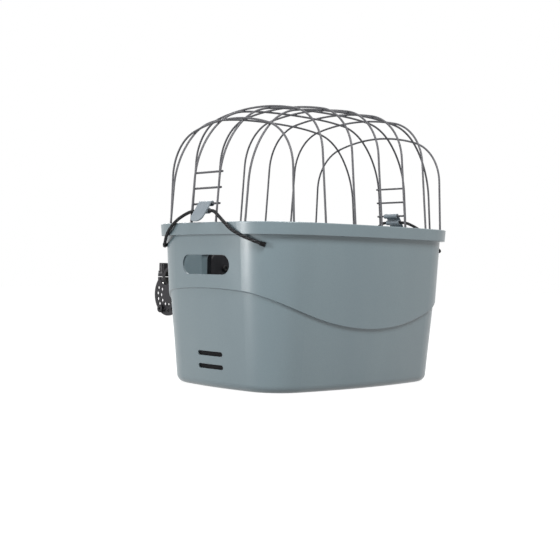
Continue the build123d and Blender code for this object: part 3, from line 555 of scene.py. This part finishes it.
def braid_wave(slant):
    """Give a set of strands with this slant as a wave from 0 to 1."""
    phase = braid_finish.math("MULTIPLY", slant, BRAID_STRANDS * 2 * pi)
    return braid_finish.spread(braid_finish.math("SINE", phase), -1.0, 1.0)


rising_slant = braid_slant(1)
rising, falling = braid_wave(rising_slant), braid_wave(braid_slant(-1))
weave = braid_finish.math("MAXIMUM", rising, falling)
tracer = braid_finish.math(
    "FRACT", braid_finish.math("MULTIPLY", rising_slant, TRACERS_PER_TURN)
)
on_top = braid_finish.spread(braid_finish.math("SUBTRACT", rising, falling), 0.0, 0.3)
tracer_shown = braid_finish.math(
    "MULTIPLY", braid_finish.math("GREATER_THAN", tracer, TRACER_START), on_top
)
# Darker black in the grooves between the strands is painted shade.
braid_black_with_painted_groove_shade = braid_finish.tone(weave, (12, 12, 14), (34, 34, 36), low=0.4, high=1.0)
braid_finish.give(
    "Base Color", braid_finish.blend(tracer_shown, braid_black_with_painted_groove_shade, colour(138, 140, 140))
)
braid_finish.give("Roughness", 0.78)
braid_finish.give("Specular IOR Level", 0.2)
fibres = braid_finish.noise(2600.0, detail=3.0, roughness=0.6)
braid_finish.bump(fibres, distance=0.00006, strength=0.6)
for cord in cords:
    cord.data.materials.append(braid_finish.material)
print(braid_finish.material.name, "on", len(cords), "cords")

# %% [markdown]
# ## Weld beads
# Where two wires of the dome cross, a spot weld squeezes a little steel out between them, and
# each foot of a hoop sits in a small puddle of weld on the base wire. One bead is modelled from a
# sphere: it is flattened, then its two caps are pressed lower, drawn out one way and pinched the
# other. It is copied to every weld, turned to the wires there and made a little larger or
# smaller, as hand work varies.

# %% Model one weld bead
BEAD_RADIUS = 0.0021
BEAD_FLATTENING = (1.0, 1.0, 0.52)
BEAD_CAP = 0.0008
CAP_PINCH = (1.18, 0.86, 0.8)
bpy.ops.object.select_all(action="DESELECT")
bpy.ops.mesh.primitive_uv_sphere_add(
    segments=12, ring_count=7, radius=BEAD_RADIUS, location=(0, 0, 0)
)
bead = bpy.context.active_object
bead.name = "weld_bead_model"
bpy.ops.object.mode_set(mode="EDIT")
bpy.ops.transform.resize(value=BEAD_FLATTENING, center_override=(0, 0, 0))
bpy.ops.mesh.select_all(action="DESELECT")
bpy.ops.object.mode_set(mode="OBJECT")
for vertex in bead.data.vertices:
    vertex.select = abs(vertex.co.z) > BEAD_CAP
bpy.ops.object.mode_set(mode="EDIT")
bpy.ops.transform.resize(value=CAP_PINCH, center_override=(0, 0, 0))
bpy.ops.object.mode_set(mode="OBJECT")
bpy.ops.object.shade_smooth()
print("bead:", len(bead.data.polygons), "faces, size", tuple(bead.dimensions))

# %% [markdown]
# The wires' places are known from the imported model, in metres. Each row of the crown is a cross
# hoop, from the middle outwards: its place along X, then the crown's height and its slope along X
# at the inner long hoop, and at the outer one. The dome is the same on both sides of its two
# middle planes, so each weld is written once and mirrored to the other quarters.

# %% Find where the wires are welded
WIRE_RADIUS = 0.0016
BEAD_DEPTH = WIRE_RADIUS - 0.0001
CROSSING_BEAD, FOOT_BEAD, RUNG_BEAD = 1.0, 1.25, 0.9
CROWN = (
    (0.000, (0.43215, 0.00), (0.42533, 0.00)),
    (0.056, (0.43118, 0.035), (0.42402, 0.047)),
    (0.112, (0.42636, 0.138), (0.41804, 0.167)),
    (0.164, (0.40280, 0.866), (0.39130, 0.995)),
)
LONG_HOOPS = (0.0290, 0.0870)
CROWN_RADII = (0.497, 0.475, 0.409, 0.300)
FOOT_TOP = 0.2351
CROSS_FEET = (0.1635, 0.16164, 0.15602, 0.14309)
LONG_FEET = (0.21379, 0.20761)
RUNGS = ((0.2740, 0.20732), (0.2975, 0.20527), (0.3210, 0.20281))
UP = Vector((0, 0, 1))


def quarters(x):
    """Give the signs that mirror a place to every quarter of the dome: two for one at X = 0."""
    return [(x_way, y_way) for x_way in ((-1, 1) if x else (1,)) for y_way in (-1, 1)]


welds = []
for (x, *crossings), crown_radius in zip(CROWN, CROWN_RADII):
    for y, (height, fall) in zip(LONG_HOOPS, crossings):
        across = y / sqrt(crown_radius**2 - y**2)
        for x_way, y_way in quarters(x):
            out = Vector((x_way * fall, y_way * across, 1.0)).normalized()
            place = Vector((x_way * x, y_way * y, height)) - out * BEAD_DEPTH
            welds.append((place, out, CROSSING_BEAD))

feet = [(x, y) for (x, *_), y in zip(CROWN, CROSS_FEET)] + list(zip(LONG_FEET, LONG_HOOPS))
for x, y in feet:
    for x_way, y_way in quarters(x):
        welds.append((Vector((x_way * x, y_way * y, FOOT_TOP)), UP, FOOT_BEAD))

for height, x in RUNGS:
    for x_way, y_way in quarters(x):
        place = Vector((x_way * (x + BEAD_DEPTH), y_way * LONG_HOOPS[0], height))
        welds.append((place, Vector((x_way, 0, 0)), RUNG_BEAD))
print(len(welds), "welds")

# %% Copy the bead to every weld
SIZE_SPREAD = (0.9, 1.1)
chance = random.Random(11)
shape = bmesh.new()
for place, out, size in welds:
    turn = out.to_track_quat("Z", "Y").to_matrix().to_4x4()
    twist = Matrix.Rotation(chance.uniform(0, pi), 4, "Z")
    width, height = (size * chance.uniform(*SIZE_SPREAD) for _ in range(2))
    copy = bead.data.copy()
    copy.transform(
        Matrix.Translation(place) @ turn @ twist @ Matrix.Diagonal((width, size, height, 1.0))
    )
    shape.from_mesh(copy)
    bpy.data.meshes.remove(copy)
bpy.data.objects.remove(bead)
bead_mesh = bpy.data.meshes.new("dome_weld_beads")
bmesh.ops.recalc_face_normals(shape, faces=shape.faces)
shape.to_mesh(bead_mesh)
shape.free()
bead_mesh.shade_smooth()
dome_welds = bpy.data.objects.new("dome_weld_beads", bead_mesh)
scene.collection.objects.link(dome_welds)
bead_mesh.materials.append(wire_finish.material)
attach(dome_welds, "dome")
print(dome_welds.name, len(bead_mesh.polygons), "faces")

# %% [markdown]
# ## Painted shade behind the vents
# The vent slots look black from outside, although the tub's inside is pale. So a dark woven
# sheet lies against the wall behind each pair of slots as painted shade, which makes the slots
# look black. The wall is curved and leans outwards. A flat sheet would touch it only at its
# ends, so each column of the sheet's points is laid on the wall by a ray shot from inside: one
# hit under the slots and one above them, and a straight line between the two.

# %% Lay a dark sheet of painted shade on the wall inside each end
SHADE_SHEET_HALF_WIDTH = 0.036
SHADE_SHEET_BOTTOM, SHADE_SHEET_TOP = 0.0205, 0.0655
SHADE_SHEET_MIDDLE = (SHADE_SHEET_BOTTOM + SHADE_SHEET_TOP) / 2
SHADE_SHEET_HALF_HEIGHT = (SHADE_SHEET_TOP - SHADE_SHEET_BOTTOM) / 2
SHADE_SHEET_COLUMNS, SHADE_SHEET_ROWS = 28, 20
SHADE_SHEET_CORNER = 0.007
SHADE_SHEET_THICKNESS = 0.0011
SHADE_SHEET_GAP = 0.0002
HEM_WIDTH = 0.0003
SMOOTH_ANGLE = radians(40)


def wall_inside(side, y, height):
    """Give the inner wall's X at an end of the tub, by a ray shot from the middle."""
    hit = nodes["tub"].ray_cast(Vector((0.0, y, height)), Vector((side, 0, 0)))
    return hit[1].x


def lay_on_wall(sheet, side):
    """Round the corners of a sheet two units wide and high, and lay its points on the wall."""
    for vertex in sheet.data.vertices:
        up = vertex.co.y * SHADE_SHEET_HALF_HEIGHT
        beyond = max(0.0, abs(up) - (SHADE_SHEET_HALF_HEIGHT - SHADE_SHEET_CORNER))
        cut = SHADE_SHEET_CORNER - sqrt(max(0.0, SHADE_SHEET_CORNER**2 - beyond**2))
        y = vertex.co.x * (SHADE_SHEET_HALF_WIDTH - cut)
        low, high = (wall_inside(side, y, height) for height in (SHADE_SHEET_BOTTOM, SHADE_SHEET_TOP))
        share = (up + SHADE_SHEET_HALF_HEIGHT) / (2 * SHADE_SHEET_HALF_HEIGHT)
        x = low + (high - low) * share - side * SHADE_SHEET_GAP
        vertex.co = (x, y, SHADE_SHEET_MIDDLE + up)


def screen(name, side):
    """Model one dark sheet of painted shade: a rounded sheet with a hemmed border, laid on the
    wall.
    """
    bpy.ops.object.select_all(action="DESELECT")
    bpy.ops.mesh.primitive_grid_add(
        x_subdivisions=SHADE_SHEET_COLUMNS, y_subdivisions=SHADE_SHEET_ROWS, size=2.0
    )
    sheet = bpy.context.active_object
    sheet.name = name
    lay_on_wall(sheet, side)
    bpy.ops.object.mode_set(mode="EDIT")
    bpy.ops.mesh.select_all(action="SELECT")
    bpy.ops.mesh.normals_make_consistent(inside=False)
    bpy.ops.object.mode_set(mode="OBJECT")
    if sheet.data.polygons[0].normal.x * side > 0:
        sheet.data.flip_normals()
    solidify = sheet.modifiers.new("thickness", "SOLIDIFY")
    solidify.thickness = SHADE_SHEET_THICKNESS
    solidify.offset = 1.0
    bevel = sheet.modifiers.new("hem", "BEVEL")
    bevel.width = HEM_WIDTH
    bevel.segments = 2
    for modifier in ("thickness", "hem"):
        bpy.ops.object.modifier_apply(modifier=modifier)
    bpy.ops.object.shade_smooth_by_angle(angle=SMOOTH_ANGLE)
    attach(sheet, "tub")
    return sheet


# Each dark sheet is painted shade that makes the vent slots look black.
shade_sheets = [screen(f"vent_shade_sheet_{side_name}", side) for side, side_name in SIDES]
print([(piece.name, len(piece.data.polygons)) for piece in shade_sheets])

# %% [markdown]
# The sheet of painted shade carries a weave of black yarn. Two waves at right angles, multiplied,
# give the small squares of a plain weave. Each yarn is about half a millimetre wide.

# %% Finish of the sheets of painted shade
YARNS_PER_METRE = 1000.0
shade_sheet_finish = Finish("black_weave_painted_shade")
yarns = shade_sheet_finish.add("ShaderNodeSeparateXYZ", Vector=shade_sheet_finish.place)
waves = [
    shade_sheet_finish.math(
        "SINE", shade_sheet_finish.math("MULTIPLY", yarns.outputs[axis], YARNS_PER_METRE * 2 * pi)
    )
    for axis in ("Y", "Z")
]
plain_weave = shade_sheet_finish.spread(shade_sheet_finish.math("MULTIPLY", *waves), -1.0, 1.0)
shade_sheet_finish.give(
    "Base Color", shade_sheet_finish.blend(plain_weave, colour(12, 12, 13), colour(32, 32, 34))
)
shade_sheet_finish.give("Roughness", 0.85)
shade_sheet_finish.give("Specular IOR Level", 0.2)
shade_sheet_finish.bump(plain_weave, distance=0.00015, strength=0.8)
for piece in shade_sheets:
    piece.data.materials.append(shade_sheet_finish.material)
print(shade_sheet_finish.material.name, "on", len(shade_sheets), "shade_sheets")

# %% [markdown]
# ## Floor and backdrop
# The basket stands on a plain pale floor before a white backdrop. Both show white to the camera
# and to shiny pieces, but throw only a little light back at the basket. A mix that looks at the
# kind of ray does this for both.

# %% Floor
FLOOR_SIZE = 12.0
FLOOR_HEIGHT = -0.0005
FLOOR_GREY = 0.20
FLOOR_GLOW = 0.90


def seen_directly(node_tree):
    """Give 1 for what the camera, a shiny surface or a clear one sees, and 0 for other light."""
    rays = node_tree.nodes.new("ShaderNodeLightPath")
    total = rays.outputs["Is Camera Ray"]
    for kind in ("Is Glossy Ray", "Is Transmission Ray"):
        either = node_tree.nodes.new("ShaderNodeMath")
        either.operation = "MAXIMUM"
        node_tree.links.new(total, either.inputs[0])
        node_tree.links.new(rays.outputs[kind], either.inputs[1])
        total = either.outputs["Value"]
    return total


def show_two_ways(node_tree, usual, seen, surface):
    """Send one shader to what sees the surface directly, and the usual one to other light."""
    choose = node_tree.nodes.new("ShaderNodeMixShader")
    node_tree.links.new(seen_directly(node_tree), choose.inputs["Fac"])
    node_tree.links.new(usual, choose.inputs[1])
    node_tree.links.new(seen, choose.inputs[2])
    node_tree.links.new(choose.outputs["Shader"], surface)


bpy.ops.object.select_all(action="DESELECT")
bpy.ops.mesh.primitive_plane_add(size=FLOOR_SIZE, location=(0, 0, FLOOR_HEIGHT))
floor = bpy.context.active_object
floor.name = "studio_floor"
bpy.ops.object.transform_apply(location=True, rotation=True, scale=True)

paper = bpy.data.materials.new("studio_paper")
paper.use_nodes = True
tree = paper.node_tree
paper_shader = tree.nodes["Principled BSDF"]
paper_shader.inputs["Base Color"].default_value = (FLOOR_GREY, FLOOR_GREY, FLOOR_GREY, 1.0)
paper_shader.inputs["Roughness"].default_value = 0.9
glow = tree.nodes.new("ShaderNodeEmission")
glow.inputs["Strength"].default_value = FLOOR_GLOW
lit = tree.nodes.new("ShaderNodeAddShader")
tree.links.new(paper_shader.outputs["BSDF"], lit.inputs[0])
tree.links.new(glow.outputs["Emission"], lit.inputs[1])
show_two_ways(
    tree,
    usual=paper_shader.outputs["BSDF"],
    seen=lit.outputs["Shader"],
    surface=tree.nodes["Material Output"].inputs["Surface"],
)
floor.data.materials.append(paper)
print("floor", FLOOR_SIZE, "m wide")

# %% Backdrop
BACKDROP_LIGHT = 0.20
world = bpy.data.worlds.new("studio")
scene.world = world
world.use_nodes = True
tree = world.node_tree
dim = tree.nodes["Background"]
white = tree.nodes.new("ShaderNodeBackground")
for background, strength in ((dim, BACKDROP_LIGHT), (white, 1.0)):
    background.inputs["Color"].default_value = (1.0, 1.0, 1.0, 1.0)
    background.inputs["Strength"].default_value = strength
show_two_ways(
    tree,
    usual=dim.outputs["Background"],
    seen=white.outputs["Background"],
    surface=tree.nodes["World Output"].inputs["Surface"],
)
print("backdrop lights the basket at", BACKDROP_LIGHT)

# %% [markdown]
# ## Studio lights
# Four soft lights look at the middle of the basket. The key light hangs high in front. A narrow
# strip light on the left draws the upright highlight on the tub's rounded corner. A broad light
# overhead brightens the wires and the rim, and a rear light keeps the bracket clear from behind.
# Each row below holds a light's name, its place, its width and height in metres, and its power
# in watts.

# %% Hang the lights
LIGHTS_LOOK_AT = Vector((0.0, 0.0, 0.2))
LIGHTS = (
    ("key_lamp", (-0.41, -1.00, 1.05), (0.6, 0.6), 13.0),
    ("strip_lamp", (-1.73, 0.44, 0.46), (0.34, 0.84), 15.5),
    ("top_lamp", (0.1, 0.2, 1.9), (1.2, 1.2), 10.0),
    ("rear_lamp", (0.75, 1.25, 0.75), (0.8, 0.8), 11.0),
)

for name, place, size, power in LIGHTS:
    area = bpy.data.lights.new(name, "AREA")
    area.shape = "RECTANGLE"
    area.size, area.size_y = size
    area.energy = power
    light = bpy.data.objects.new(name, area)
    turn = (LIGHTS_LOOK_AT - Vector(place)).to_track_quat("-Z", "Y").to_matrix().to_4x4()
    light.matrix_world = Matrix.Translation(Vector(place)) @ turn
    scene.collection.objects.link(light)
scene.view_settings.view_transform = "Standard"
print(len(LIGHTS), "lights")

# %% Update the scene
bpy.context.view_layer.update()
